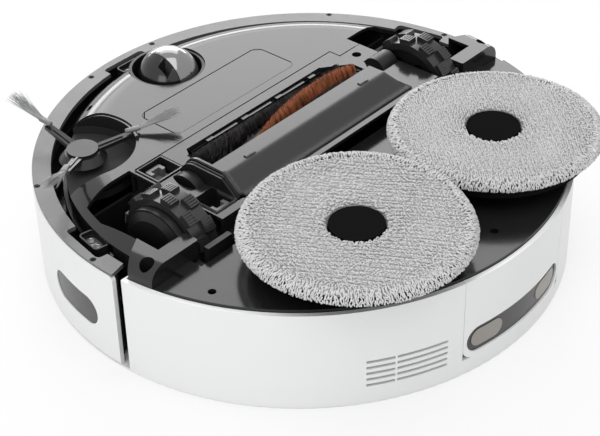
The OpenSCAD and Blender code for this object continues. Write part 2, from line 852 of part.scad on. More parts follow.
module ir_cut(r0, r1, l, h) {
    for (s = [-1, 1]) radial_stadium(s * 102.3, 30.6, l, h, r0, r1);
}
module bumper_shell() {
    color("white") difference() {
        intersection() {
            rotate_extrude() {
                translate([body_r - wall_t, 3.2]) square([wall_t, rim_z - 1.7 - 3.2]);
                translate([body_r - wall_t, 2.2]) square([wall_t - 1, 1 + eps]);
                translate([body_r - 1, 3.2]) circle(1, $fn = 32);
            }
            difference() {
                front_of(bumper_back_y);
                // Round upper corner at each rear end
                difference() {
                    slab(-200, 200, bumper_back_y - 4, 20, rim_z - 5.7, 120);
                    x_bar(-200, 200, bumper_back_y - 4, rim_z - 5.7, 4);
                }
            }
        }
        ir_cut(body_r - 30, body_r + 10, ir_l, ir_h);
        radial_stadium(180, 38, 96, 26, body_r - 40, body_r + 10);
    }
}
module bumper_frame() {
    color([0.1, 0.1, 0.1]) difference() {
        intersection() {
            union() {
                tube(body_r - wall_t - 0.05, body_r - 5.2, 8, rim_z - 3);
                for (z = [12, 48]) tube(body_r - wall_t - 0.1, body_r - 7, z, z + 2);
            }
            front_of(bumper_back_y - 0.5);
        }
        at_cliff_sensors() slab(-19, 19, -13, 20, 52, 120);
        ir_cut(body_r - 30, body_r + 10, ir_l - 4, ir_h - 4);
        radial_stadium(180, 38, 92, 22, body_r - 40, body_r + 10);
    }
}
module bumper_lip() {
    color([0.35, 0.35, 0.36]) difference() {
        intersection() {
            union() {
                tube(body_r - 0.5, body_r - lip_w, rim_z - 1.7 + eps, rim_z);
                tube(body_r - wall_t - 0.1, body_r - lip_w, rim_z - 2.9, rim_z - 1);
            }
            // Slanting rear ends
            linear_extrude(120) polygon([
                [-200, -200], [200, -200], [200, bumper_back_y - 0.3], [body_r - 0.5, bumper_back_y - 0.3],
                [body_r - lip_w, bumper_back_y - 3], [lip_w - body_r, bumper_back_y - 3],
                [0.5 - body_r, bumper_back_y - 0.3], [-200, bumper_back_y - 0.3]
            ]);
        }
        at_cliff_sensors() rounded_slab(-18, 18, -11.2, 12, 50, 120, 3);
        for (p = lip_screws) translate([p[0], p[1], 0]) disc(2.1, 60, 120);
    }
}
module bumper_screws() {
    color("gray") for (p = lip_screws) translate([p[0], p[1], rim_z - 1.65]) pan_head(1.9);
}
module side_windows() {
    color([0.25, 0.25, 0.25]) intersection() {
        tube(body_r - 0.6, body_r - 2.6, 0, rim_z);
        ir_cut(body_r - 30, body_r + 10, ir_l - gap, ir_h - gap);
    }
}
module front_window() {
    color([0.1, 0.1, 0.1]) intersection() {
        tube(body_r - 0.6, body_r - 2.6, 0, rim_z);
        radial_stadium(180, 38, 96 - gap, 26 - gap, body_r - 40, body_r + 10);
    }
}

// ---- Drive wheels ----

// Swinging gear housing outside the tyre, and its pivot block behind it, on the +X side
module suspension() {
    x0 = wheel_x + tyre_w / 2 + 0.9;
    x1 = x0 + 4.5;
    color([0.15, 0.15, 0.15]) {
        x_extrude(x0, x1) {
            translate([0, axle_z]) circle(26.5);
            translate([pivot_y, pivot_z]) circle(8.5);
            polygon([
                [8, axle_z + 24], [21.5, 78], [28.6, 69.5], [pivot_y, 66],
                [pivot_y, pivot_z - 8.5], [3, axle_z - 26]
            ]);
        }
        translate([x1 - eps, 0, axle_z]) rotate([0, 90, 0]) cylinder(h = 2.2, r1 = 25.2, r2 = 20);
        difference() {
            union() {
                x_bar(well_x0 + 4, x0 + eps, pivot_y, pivot_z, 7.5);
                slab(well_x0 + 5, x0 + eps, pivot_y - 5.5, pivot_y + 5.5, pivot_z - 10.4, pivot_z + 3);
                // Block behind the tyre
                slab(well_x0 + 3, x0 - 0.6, 35.5, 39.3, pivot_z, 80);
            }
            slab(well_x0 + 8, x0 - 3, pivot_y - 3.5, pivot_y + 3.5, pivot_z - 20, pivot_z - 8);
        }
        x_bar(well_x0 + 0.4, well_x1 - 0.4, pivot_y, pivot_z, 3);
        x_bar(wheel_x - tyre_w / 2 + 2, x0 + eps, 0, axle_z, 3);
    }
}
module suspension_left() {
    mirror([1, 0, 0]) suspension();
}
module suspension_right() {
    suspension();
}
module wheel_hub() {
    x0 = wheel_x - tyre_w / 2;
    color([0.13, 0.13, 0.13]) difference() {
        union() {
            x_bar(x0 + 1, x0 + tyre_w - 0.5, 0, axle_z, tyre_r - 8.02);
            x_bar(x0 - 0.6, x0 + 1.01, 0, axle_z, 12);
        }
        x_bar(x0 + 2 - eps, x0 + tyre_w + 1, 0, axle_z, 3.05);
        x_bar(x0 + tyre_w - 6, x0 + tyre_w + 1, 0, axle_z, tyre_r - 12);
        for (a = [0 : 60 : 300]) translate([0, 0, axle_z]) rotate([a, 0, 0])
            x_bar(x0 + 0.5, x0 + 4, 16.5, 0, 4);
    }
}
// Tyre with two rows of blocks, staggered by half a pitch
module tyre() {
    x0 = wheel_x - tyre_w / 2;
    pitch = 360 / tread_count;
    block_l = 8.4;
    block_w = 7.5;
    color([0.1, 0.1, 0.1]) {
        difference() {
            x_bar(x0, x0 + tyre_w, 0, axle_z, tyre_r - 3);
            x_bar(x0 - 1, x0 + tyre_w + 1, 0, axle_z, tyre_r - 8);
        }
        for (row = [0, 1], i = [0 : tread_count - 1])
            translate([x0 + 0.8 + row * (block_w + 1.4), 0, axle_z])
                rotate([8 + (i + row / 2) * pitch, 0, 0]) tread_block(block_w, block_l);
    }
}
// Block with three ribs across its face
module tread_block(w, l) {
    intersection() {
        difference() {
            slab(0, w, -l / 2, l / 2, tyre_r - 5, tyre_r + 1);
            for (i = [-1.5, -0.5, 0.5, 1.5]) slab(1, w + 1, i * 1.9 - 0.35, i * 1.9 + 0.35, tyre_r - 0.9, tyre_r + 2);
        }
        x_bar(-1, w + 1, 0, 0, tyre_r);
    }
}
module wheel_hub_left() {
    mirror([1, 0, 0]) wheel_hub();
}
module wheel_hub_right() {
    wheel_hub();
}
module tyre_left() {
    mirror([1, 0, 0]) tyre();
}
module tyre_right() {
    tyre();
}

// ---- Caster ----

module caster_socket() {
    color([0.1, 0.1, 0.1]) translate([0, caster_y, 0]) {
        tube(caster_r, caster_r - 2, 52, front_z - 1);
        difference() {
            disc(caster_r, 50, 52 + eps);
            disc(4.05, 0, 120);
        }
    }
}
module caster_dome() {
    color([0.25, 0.25, 0.25]) translate([0, caster_y, 0]) difference() {
        union() {
            // Cheek beside the roller
            ball_slice(7.6, roller_r, 0);
            slab(8, 15, -8, 8, 54, 64);
            disc(20, 52.3, 54.8);
            disc(4, 46, 53);
        }
        // Recess in the cheek, and the bore of the axle
        slab(7, 14, 6, 14.5, 84, 120);
        x_bar(-14, 16, caster_trail, caster_axle_z, 1.55);
    }
}
// Slice of the roller's ball, with a bore on its axle
module ball_slice(x0, x1, bore) {
    translate([0, caster_trail, caster_axle_z]) rotate([0, 90, 0]) rotate_extrude() intersection() {
        circle(roller_r);
        translate([bore, x0]) square([roller_r, x1 - x0]);
    }
}
module caster_axle() {
    color("silver") translate([0, caster_y, 0]) x_bar(-14, 14, caster_trail, caster_axle_z, 1.5);
}
// Roller, a ball cut off beside the cheek
module caster_wheel() {
    color([0.1, 0.1, 0.1]) translate([0, caster_y, 0]) ball_slice(-20.4, 7.1, 1.56);
}

// ---- Side brush ----

module side_brush_hub() {
    z0 = rim_z + 2;
    color([0.2, 0.2, 0.2]) translate([side_x, side_y, 0]) {
        translate([0, 0, z0]) cylinder(h = 5, r1 = 15.5, r2 = 11.5);
        disc(10.2, z0 + 5 - eps, z0 + 7.2);
        disc(3, 58, z0 + eps);
        for (a = [0 : side_arms - 1]) rotate([0, 0, 30 + a * 360 / side_arms]) side_arm(z0 + 1.4);
    }
}
module side_arm(z) {
    translate([0, 0, z]) rotate([0, -13, 0]) {
        linear_extrude(2.6) polygon([[6, -3.6], [arm_l, -2.4], [arm_l, 2.4], [6, 3.6]]);
        // Raised edge along the arm
        translate([0, 0, 2.6 - eps]) linear_extrude(0.7)
            polygon([[9, -0.7], [arm_l - 6, -0.7], [arm_l - 6, 0.7], [9, 0.7]]);
    }
}
module side_brush_bristles() {
    l = bristle_reach - arm_l - 5.5;
    color("lightgray") translate([side_x, side_y, 0])
        for (a = [0 : side_arms - 1]) rotate([0, 0, 30 + a * 360 / side_arms])
            translate([arm_l, 0, rim_z + 14.2]) {
                // Bound root of the tuft, on the arm's tip
                slab(-4, 5.5, -3, 3, 0, 2.4);
                translate([5.5 - eps, 0, 0.2]) rotate([0, -4, 0]) linear_extrude(1.6)
                    polygon([[0, -2.6], [l, -7], [l, 7], [0, 2.6]]);
            }
}

// ---- Mops ----

module mop_disc() {
    z1 = pad_top_z - pad_t;
    color([0.08, 0.08, 0.08]) {
        disc(pad_r - 5, z1 - 7, z1);
        disc(pad_hole_r - 0.3, z1 - eps, pad_top_z - 2.5);
        disc(24, rear_z + 2, z1 - 7 + eps);
        disc(4, 52, rear_z + 2 + eps);
    }
}
module mop_pad() {
    round_r = pad_t / 2;
    color("gainsboro") translate([0, 0, pad_top_z - pad_t + eps]) rotate_extrude() {
        translate([pad_hole_r, 0]) square([pad_r - pad_hole_r - round_r, pad_t]);
        translate([pad_r - round_r, round_r]) circle(round_r, $fn = 32);
    }
}
module at_mops() {
    for (x = [mop_x_left, mop_x_right]) translate([x, mop_y, 0]) children();
}
module mop_disc_left() {
    translate([mop_x_left, mop_y, 0]) mop_disc();
}
module mop_disc_right() {
    translate([mop_x_right, mop_y, 0]) mop_disc();
}
module mop_pad_left() {
    translate([mop_x_left, mop_y, 0]) mop_pad();
}
module mop_pad_right() {
    translate([mop_x_right, mop_y, 0]) mop_pad();
}

// ---- Buttons in the top cover ----

module button() {
    disc(8.7, 0.4, 2.6);
    disc(4, 2.6 - eps, 7.6);
}
module power_button() {
    color([0.85, 0.85, 0.85]) translate([-15, -60, 0]) button();
}
module home_button() {
    color([0.85, 0.85, 0.85]) translate([15, -60, 0]) button();
}

top_cover();
side_wall();
inner_frame();
base_plate();
wheel_cover_left();
wheel_cover_right();
wheel_well_left();
wheel_well_right();
contact_panel();
contact_window();
charge_contacts();
cliff_sensors();
cliff_lenses();
battery_cover();
battery_pack();
main_board();
dust_bin();
bin_filter();
fan_housing();
exhaust_duct();
water_tank();
mop_gearboxes();
side_brush_motor();
brush_gearbox();
speaker();
base_screws();
brush_housing();
brush_guard();
latch_frames();
front_latch();
rear_latch();
bumper_shell();
bumper_lip();
bumper_frame();
side_windows();
front_window();
bumper_screws();
suspension_left();
suspension_right();
wheel_hub_left();
wheel_hub_right();
tyre_left();
tyre_right();
caster_socket();
caster_dome();
caster_axle();
caster_wheel();
side_brush_hub();
side_brush_bristles();
brush_core();
black_bristles();
orange_bristles();
fan_impeller();
mop_disc_left();
mop_disc_right();
mop_pad_left();
mop_pad_right();
power_button();
home_button();
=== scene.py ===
"""Looks of the robot vacuum: camera, light, materials, mop pile, bristles and painted shade in the seams.
"""
import json
import math

import bpy
import numpy as np
from mathutils import Matrix, Vector


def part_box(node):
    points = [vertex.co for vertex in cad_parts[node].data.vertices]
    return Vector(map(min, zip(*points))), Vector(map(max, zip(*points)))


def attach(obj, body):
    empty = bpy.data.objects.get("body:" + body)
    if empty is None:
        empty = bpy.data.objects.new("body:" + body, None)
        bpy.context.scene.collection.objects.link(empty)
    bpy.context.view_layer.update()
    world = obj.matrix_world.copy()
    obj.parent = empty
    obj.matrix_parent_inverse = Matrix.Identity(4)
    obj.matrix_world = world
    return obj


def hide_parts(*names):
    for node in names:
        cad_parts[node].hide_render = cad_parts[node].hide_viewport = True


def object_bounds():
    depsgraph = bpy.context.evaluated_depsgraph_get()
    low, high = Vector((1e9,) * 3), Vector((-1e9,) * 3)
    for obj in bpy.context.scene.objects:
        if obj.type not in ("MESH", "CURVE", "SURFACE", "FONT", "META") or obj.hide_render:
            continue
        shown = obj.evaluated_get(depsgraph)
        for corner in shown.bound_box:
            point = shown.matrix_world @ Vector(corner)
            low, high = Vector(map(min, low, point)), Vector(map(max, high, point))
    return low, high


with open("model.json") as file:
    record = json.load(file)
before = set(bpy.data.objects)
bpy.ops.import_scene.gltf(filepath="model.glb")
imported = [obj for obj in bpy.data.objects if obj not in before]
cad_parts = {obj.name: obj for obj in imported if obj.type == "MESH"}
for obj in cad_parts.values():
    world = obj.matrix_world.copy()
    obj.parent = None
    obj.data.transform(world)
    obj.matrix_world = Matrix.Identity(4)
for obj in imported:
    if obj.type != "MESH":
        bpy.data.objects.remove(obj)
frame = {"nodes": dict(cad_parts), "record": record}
cad_low, cad_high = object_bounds()
nodes = frame["nodes"]
record = frame["record"]
rng = np.random.default_rng(7)

MM = 0.001
TINY = 1e-12


# ---------------------------------------------------------------- camera and light

CAMERA_AT = Vector((0.6622, 0.5923, 0.6599))
CAMERA_AZIMUTH = math.radians(42.0)
CAMERA_ELEVATION = math.radians(36.1)
CAMERA_ROLL = math.radians(-1.42)
SENSOR_WIDTH = 36
LENS = 98.54
# Just under the top cover, so that the two faces don't show through each other
FLOOR_Z = cad_low.z - 0.2 * MM
FLOOR_HALF = 4.0
FLOOR_GREY = 0.82
FLOOR_GLOW = 0.72
WORLD_STRENGTH = 0.55
WORLD_TINT = (0.98, 0.99, 1.0, 1)
WHITE = (1, 1, 1, 1)


def add_camera():
    """The camera stands beyond the robot's right rear side and looks down at it."""
    flat = math.cos(CAMERA_ELEVATION)
    back = Vector((
        flat * math.cos(CAMERA_AZIMUTH),
        flat * math.sin(CAMERA_AZIMUTH),
        math.sin(CAMERA_ELEVATION),
    ))
    right = Vector((0, 0, 1)).cross(back).normalized()
    up = back.cross(right)
    c, s = math.cos(CAMERA_ROLL), math.sin(CAMERA_ROLL)
    x_axis = right * c + up * s
    y_axis = up * c - right * s
    data = bpy.data.cameras.new("camera")
    data.lens = LENS
    data.sensor_width = SENSOR_WIDTH
    data.clip_start = 0.05
    cam = bpy.data.objects.new("camera", data)
    bpy.context.collection.objects.link(cam)
    cam.matrix_world = Matrix.Translation(CAMERA_AT) @ Matrix((x_axis, y_axis, back)).transposed().to_4x4()
    bpy.context.scene.camera = cam


def seen_directly(tree):
    """A factor of 1 for camera, mirror and transmitted rays, and 0 for diffuse ones."""
    path = tree.nodes.new("ShaderNodeLightPath")
    first = tree.nodes.new("ShaderNodeMath")
    first.operation = "MAXIMUM"
    tree.links.new(path.outputs["Is Camera Ray"], first.inputs[0])
    tree.links.new(path.outputs["Is Glossy Ray"], first.inputs[1])
    both = tree.nodes.new("ShaderNodeMath")
    both.operation = "MAXIMUM"
    tree.links.new(first.outputs[0], both.inputs[0])
    tree.links.new(path.outputs["Is Transmission Ray"], both.inputs[1])
    return both.outputs[0]


def set_world():
    """An even pale surround that looks white where it is seen directly."""
    world = bpy.data.worlds.new("studio")
    bpy.context.scene.world = world
    world.use_nodes = True
    tree = world.node_tree
    tree.nodes.clear()
    out = tree.nodes.new("ShaderNodeOutputWorld")
    mix = tree.nodes.new("ShaderNodeMixShader")
    around = tree.nodes.new("ShaderNodeBackground")
    around.inputs["Color"].default_value = WORLD_TINT
    around.inputs["Strength"].default_value = WORLD_STRENGTH
    white = tree.nodes.new("ShaderNodeBackground")
    white.inputs["Color"].default_value = WHITE
    white.inputs["Strength"].default_value = 1
    tree.links.new(seen_directly(tree), mix.inputs[0])
    tree.links.new(around.outputs[0], mix.inputs[1])
    tree.links.new(white.outputs[0], mix.inputs[2])
    tree.links.new(mix.outputs[0], out.inputs[0])


def area_lamp(name, at, aim, size, power):
    data = bpy.data.lights.new(name, "AREA")
    data.shape = "RECTANGLE"
    data.size, data.size_y = size
    data.energy = power
    lamp = bpy.data.objects.new(name, data)
    bpy.context.collection.objects.link(lamp)
    lamp.location = at
    lamp.rotation_euler = (Vector(aim) - Vector(at)).to_track_quat("-Z", "Y").to_euler()


def add_floor():
    """A pale floor that keeps a faint shadow and is nearly white where it is seen directly."""
    mesh = bpy.data.meshes.new("floor")
    corners = [(-1, -1), (1, -1), (1, 1), (-1, 1)]
    mesh.from_pydata([(FLOOR_HALF * x, FLOOR_HALF * y, FLOOR_Z) for x, y in corners], [], [(0, 1, 2, 3)])
    floor = bpy.data.objects.new("floor", mesh)
    bpy.context.collection.objects.link(floor)
    mat = bpy.data.materials.new("floor_white")
    mat.use_nodes = True
    tree = mat.node_tree
    tree.nodes.clear()
    out = tree.nodes.new("ShaderNodeOutputMaterial")
    matt = tree.nodes.new("ShaderNodeBsdfDiffuse")
    matt.inputs["Color"].default_value = (FLOOR_GREY, FLOOR_GREY, FLOOR_GREY, 1)
    light = tree.nodes.new("ShaderNodeEmission")
    light.inputs["Strength"].default_value = 1
    mix = tree.nodes.new("ShaderNodeMixShader")
    amount = tree.nodes.new("ShaderNodeMath")
    amount.operation = "MULTIPLY"
    amount.inputs[1].default_value = FLOOR_GLOW
    tree.links.new(seen_directly(tree), amount.inputs[0])
    tree.links.new(amount.outputs[0], mix.inputs[0])
    tree.links.new(matt.outputs[0], mix.inputs[1])
    tree.links.new(light.outputs[0], mix.inputs[2])
    tree.links.new(mix.outputs[0], out.inputs[0])
    mesh.materials.append(mat)


def add_studio():
    """A softbox overhead, three behind the robot that its glossy base mirrors, and a fill at the camera."""
    set_world()
    area_lamp("overhead", (0.2, 0.3, 1.7), (0, 0, 0), (1.6, 1.6), 17)
    area_lamp("far_softbox", (-1.2, -1.4, 1.0), (0, -0.1, 0.07), (1.5, 0.65), 10)
    area_lamp("high_softbox", (-1.07, -1.06, 1.46), (0, 0, 0.07), (1.5, 0.55), 5)
    area_lamp("low_strip", (-1.2, -1.45, 0.36), (0, -0.1, 0.07), (2.0, 0.34), 10)
    area_lamp("near_fill", (1.5, 0.4, 0.5), (0, 0, 0.05), (0.8, 0.8), 5)
    add_floor()
    bpy.context.scene.view_settings.view_transform = "Standard"


# ---------------------------------------------------------------- materials

# Sizes of the patterns, in waves to a metre
CLOUD_SCALE = 28
GLOSS_SCALE = 90
TUFT_SCALE = 1500
ROUGH_TONE = 0.08
COAT_ROUGH = 0.05
GRAIN_DEPTH = 0.2 * MM
# The guard's rear ridge, and how widely it is rounded
RIDGE_Y = 9 * MM
RIDGE_RADIUS = 5 * MM
# A sphere that takes in the side brush's bowl, below the edge of the floor
BOWL_AT = (0.106, -0.098, 0.044)
BOWL_R = 48 * MM
BOWL_ROUGH = 0.75


def noise(tree, coords, scale, detail=3.0, roughness=0.55):
    node = tree.nodes.new("ShaderNodeTexNoise")
    node.inputs["Scale"].default_value = scale
    node.inputs["Detail"].default_value = detail
    node.inputs["Roughness"].default_value = roughness
    tree.links.new(coords, node.inputs["Vector"])
    return node.outputs["Fac"]


def ramp(tree, value, low, high, start=0.35, end=0.65):
    """Maps a value to a number between low and high."""
    node = tree.nodes.new("ShaderNodeMapRange")
    node.inputs["From Min"].default_value = start
    node.inputs["From Max"].default_value = end
    node.inputs["To Min"].default_value = low
    node.inputs["To Max"].default_value = high
    tree.links.new(value, node.inputs["Value"])
    return node.outputs["Result"]


def blend_colors(tree, factor, first, second):
    node = tree.nodes.new("ShaderNodeMix")
    node.data_type = "RGBA"
    node.inputs["A"].default_value = (*first, 1)
    node.inputs["B"].default_value = (*second, 1)
    tree.links.new(factor, node.inputs["Factor"])
    return node.outputs["Result"]


def scaled(color, k):
    return tuple(min(1.0, c * k) for c in color)


def moulded(name, color, rough, tone=0.06, grain=2500, bump=0.05, coat=0.0, specular=0.5):
    """A moulded plastic: slight cloudiness in colour, patchy gloss and a fine grain."""
    mat = bpy.data.materials.new(name)
    mat.use_nodes = True
    tree = mat.node_tree
    shader = tree.nodes["Principled BSDF"]
    shader.inputs["Specular IOR Level"].default_value = specular
    shader.inputs["Coat Weight"].default_value = coat
    shader.inputs["Coat Roughness"].default_value = COAT_ROUGH
    coords = tree.nodes.new("ShaderNodeTexCoord").outputs["Object"]
    cloud = noise(tree, coords, CLOUD_SCALE)
    fine = noise(tree, coords, grain, detail=2)
    tree.links.new(
        blend_colors(tree, cloud, scaled(color, 1 - tone), scaled(color, 1 + tone)),
        shader.inputs["Base Color"],
    )
    gloss = noise(tree, coords, GLOSS_SCALE)
    tree.links.new(
        ramp(tree, gloss, rough * (1 - ROUGH_TONE), rough * (1 + ROUGH_TONE)), shader.inputs["Roughness"]
    )
    if bump:
        node = tree.nodes.new("ShaderNodeBump")
        node.inputs["Strength"].default_value = bump
        node.inputs["Distance"].default_value = GRAIN_DEPTH
        tree.links.new(fine, node.inputs["Height"])
        tree.links.new(node.outputs["Normal"], shader.inputs["Normal"])
    return mat


def shader_of(mat):
    return mat.node_tree.nodes["Principled BSDF"]


def tyre_rubber():
    """Moulded rubber with dusty patches and a fine grain."""
    return moulded("tyre_rubber", (0.02, 0.02, 0.0204), 0.27, tone=0.25, grain=1600, bump=0.12)


def mop_yarn():
    """Short microfibre yarn, pale grey with a soft sheen."""
    mat = moulded("mop_yarn", (0.66, 0.655, 0.66), 0.95, tone=0.07, grain=4000, bump=0.5, specular=0.15)
    shader_of(mat).inputs["Sheen Weight"].default_value = 0.3
    shader_of(mat).inputs["Sheen Roughness"].default_value = 0.5
    return mat


def mop_backing_with_shade():
    """The cloth under the yarn; its darker grey is painted shade for the gaps between the loops."""
    return moulded("mop_backing_with_shade", (0.38, 0.375, 0.378), 0.95, tone=0.12, grain=1400, bump=0.8, specular=0.1)


def brushed_metal(name, color, rough):
    mat = moulded(name, color, rough, tone=0.08, grain=1800, bump=0.08)
    shader_of(mat).inputs["Metallic"].default_value = 1.0
    return mat


def polished_dome(name, color, rough):
    """The roller's hard, almost mirror-bright outside."""
    mat = moulded(name, color, rough, tone=0.03, bump=0, coat=0.2, specular=1.0)
    shader_of(mat).inputs["Metallic"].default_value = 0.7
    return mat


def clear_plastic(name, color, rough):
    mat = moulded(name, color, rough, bump=0.02)
    shader_of(mat).inputs["Transmission Weight"].default_value = 0.6
    return mat


def bristle_stock(name, low, high):
    """Nylon bristles whose tufts differ in tone along the brush's length."""
    mat = moulded(name, high, 0.5, bump=0, specular=0.2)
    tree = mat.node_tree
    flat = tree.nodes.new("ShaderNodeVectorMath")
    flat.operation = "MULTIPLY"
    flat.inputs[1].default_value = (1, 0.06, 0.06)
    tree.links.new(tree.nodes.new("ShaderNodeTexCoord").outputs["Object"], flat.inputs[0])
    tuft = ramp(tree, noise(tree, flat.outputs["Vector"], TUFT_SCALE, detail=1), 0, 1, start=0.34, end=0.6)
    tree.links.new(blend_colors(tree, tuft, low, high), shader_of(mat).inputs["Base Color"])
    return mat


def roughen_bowl(mat):
    """The bowl under the side brush has a matt finish, unlike the polished floor around it."""
    tree = mat.node_tree
    rough = shader_of(mat).inputs["Roughness"]
    polished = rough.links[0].from_socket
    away = tree.nodes.new("ShaderNodeVectorMath")
    away.operation = "DISTANCE"
    away.inputs[1].default_value = BOWL_AT
    tree.links.new(tree.nodes.new("ShaderNodeTexCoord").outputs["Object"], away.inputs[0])
    inside = ramp(tree, away.outputs["Value"], 1, 0, start=BOWL_R - 0.6 * MM, end=BOWL_R + 0.2 * MM)
    mix = tree.nodes.new("ShaderNodeMix")
    tree.links.new(inside, mix.inputs["Factor"])
    tree.links.new(polished, mix.inputs["A"])
    mix.inputs["B"].default_value = BOWL_ROUGH
    tree.links.new(mix.outputs["Result"], rough)


def soften_ridge(mat):
    """The guard's long rear ridge is well rounded, while the edges in front of it are crisp."""
    tree = mat.node_tree
    bevel = tree.nodes.new("ShaderNodeBevel")
    bevel.samples = 6
    bevel.inputs["Radius"].default_value = RIDGE_RADIUS
    split = tree.nodes.new("ShaderNodeSeparateXYZ")
    tree.links.new(tree.nodes.new("ShaderNodeTexCoord").outputs["Object"], split.inputs[0])
    behind = ramp(tree, split.outputs["Y"], 0, 1, start=RIDGE_Y - 3 * MM, end=RIDGE_Y - 2 * MM)
    mix = tree.nodes.new("ShaderNodeMix")
    mix.data_type = "VECTOR"
    tree.links.new(behind, mix.inputs["Factor"])
    tree.links.new(tree.nodes.new("ShaderNodeNewGeometry").outputs["Normal"], mix.inputs["A"])
    tree.links.new(bevel.outputs["Normal"], mix.inputs["B"])
    bump = shader_of(mat).inputs["Normal"].links[0].from_node
    tree.links.new(mix.outputs["Result"], bump.inputs["Normal"])


def make_materials():
    """One material for each slot of the record, and a few more for single pieces."""
    made = {
        "white_shell": moulded("white_shell", (0.82, 0.82, 0.82), 0.3, tone=0.004, bump=0),
        "button_grey": moulded("button_grey", (0.55, 0.55, 0.55), 0.4, tone=0.02),
        "dark_frame": moulded(
            "dark_frame", (0.011, 0.011, 0.0112), 0.34, grain=1800, bump=0.15, specular=0.25
        ),
        "gloss_base": moulded("gloss_base", (0.013, 0.013, 0.0133), 0.15, tone=0.02, bump=0),
        "lip_grey": moulded("lip_grey", (0.12, 0.12, 0.122), 0.36, tone=0.04, grain=1800, bump=0.12),
        "guard_grey": moulded(
            "guard_grey", (0.014, 0.014, 0.0143), 0.24, tone=0.03, bump=0.02, specular=0.55
        ),
        "dark_window": moulded(
            "dark_window", (0.05, 0.049, 0.048), 0.16, tone=0.03, bump=0, specular=0.4
        ),
        "contact_metal": brushed_metal("contact_metal", (0.30, 0.285, 0.265), 0.34),
        "lens": moulded("lens", (0.10, 0.09, 0.09), 0.08, bump=0, coat=0.5),
        "battery_wrap": moulded("battery_wrap", (0.05, 0.16, 0.45), 0.3),
        "board": moulded("board", (0.02, 0.16, 0.06), 0.35),
        "bin_clear": clear_plastic("bin_clear", (0.25, 0.25, 0.27), 0.15),
        "filter_paper": moulded("filter_paper", (0.85, 0.85, 0.82), 0.9, bump=0.4),
        "tank_clear": clear_plastic("tank_clear", (0.6, 0.65, 0.7), 0.12),
        "screw_black": moulded("screw_black", (0.01, 0.01, 0.01), 0.4, specular=0.1),
        "roller_grey": polished_dome("roller_grey", (0.22, 0.22, 0.222), 0.12),
        "light_plastic": moulded("light_plastic", (0.62, 0.62, 0.62), 0.35),
        "tyre_rubber": tyre_rubber(),
        "bristle_pale": moulded("bristle_pale", (0.36, 0.365, 0.36), 0.4, tone=0.2, bump=0.1),
        "bristle_black": bristle_stock("bristle_black", (0.002, 0.002, 0.002), (0.034, 0.031, 0.030)),
        "bristle_orange": bristle_stock("bristle_orange", (0.10, 0.036, 0.02), (0.42, 0.135, 0.055)),
        "mop_pile": mop_yarn(),
        # The cloth's darker grey is painted shade in the gaps of the pile
        "mop_cloth": mop_backing_with_shade(),
        "matt_black": moulded(
            "matt_black", (0.008, 0.008, 0.008), 0.6, grain=1800, bump=0.1, specular=0.0
        ),
        "dark_grey": moulded(
            "dark_grey", (0.012, 0.012, 0.0122), 0.3, tone=0.04, bump=0.02, specular=0.4
        ),
        # light_grey, used only on the latches, is a painted highlight: it stands in for the glints on their
        # glossy black edges
        "light_grey": moulded("light_grey", (0.14, 0.14, 0.142), 0.3, tone=0.04, bump=0.02),
        "root_grey": moulded("root_grey", (0.13, 0.13, 0.13), 0.4, tone=0.1, bump=0.05),
    }
    roughen_bowl(made["gloss_base"])
    soften_ridge(made["guard_grey"])
    special = {
        "mop_disc_left": "matt_black",
        "mop_disc_right": "matt_black",
        "side_brush_hub": "dark_grey",
        # The latches are lighter than the dark base around them as a painted highlight of their glossy
        # edges
        "front_latch": "light_grey",
        "rear_latch": "light_grey",
    }
    for part in record["subparts"]:
        name = part["node"]
        mesh = nodes[name].data
        mesh.materials.clear()
        mesh.materials.append(made[special.get(name, part["material_slot"])])
    return made


# ---------------------------------------------------------------- strands

def mesh_object(name, points, faces, material, smooth=True):
    """A new object from an array of points in any shape and faces as lists of their numbers."""
    mesh = bpy.data.meshes.new(name)
    mesh.from_pydata(points.reshape(-1, 3).tolist(), [], faces)
    mesh.polygons.foreach_set("use_smooth", [smooth] * len(mesh.polygons))
    mesh.materials.append(material)
    mesh.update()
    obj = bpy.data.objects.new(name, mesh)
    bpy.context.collection.objects.link(obj)
    return obj


def unit(vectors):
    return vectors / np.maximum(np.linalg.norm(vectors, axis=-1, keepdims=True), TINY)


def strands(name, paths, radii, sides, material):
    """Closed thin tubes, one along each path. paths is (count, rings, 3) and radii is (rings,)."""
    count, rings, _ = paths.shape
    radii = np.broadcast_to(radii, (count, rings))
    along = unit(np.gradient(paths, axis=1))
    helper = np.where(np.abs(along[..., 2:3]) > 0.8, np.array([1.0, 0, 0]), np.array([0, 0, 1.0]))
    side = unit(np.cross(along, helper))
    over = np.cross(side, along)
    angle = np.arange(sides) * 2 * math.pi / sides
    wheel = side[:, :, None] * np.cos(angle)[:, None] + over[:, :, None] * np.sin(angle)[:, None]
    points = paths[:, :, None] + wheel * radii[:, :, None, None]
    start = (np.arange(count) * rings * sides)[:, None, None]
    ring = (np.arange(rings - 1) * sides)[None, :, None]
    k = np.arange(sides)[None, None, :]
    after = (k + 1) % sides
    quads = np.stack([
        start + ring + k, start + ring + after, start + ring + sides + after, start + ring + sides + k,
    ], axis=-1).reshape(-1, 4)
    first = start[:, 0] + np.arange(sides)[::-1]
    last = start[:, 0] + (rings - 1) * sides + np.arange(sides)
    return mesh_object(name, points, quads.tolist() + first.tolist() + last.tolist(), material)


# ---------------------------------------------------------------- mop pads

PAD_SIDES = 240
# The cloth ring: its hole, how far its rim and its top stay inside the pad, and its rounding
CLOTH_HOLE = 17.4 * MM
CLOTH_INSET = 4.2 * MM
CLOTH_DROP = 1.6 * MM
CLOTH_ROUND = 4 * MM
# Rings and radii of one yarn loop
LOOP_RINGS = 6
LOOP_RADII = np.array([0.28, 0.38, 0.41, 0.41, 0.38, 0.27]) * MM
YARN_SIDES = 5
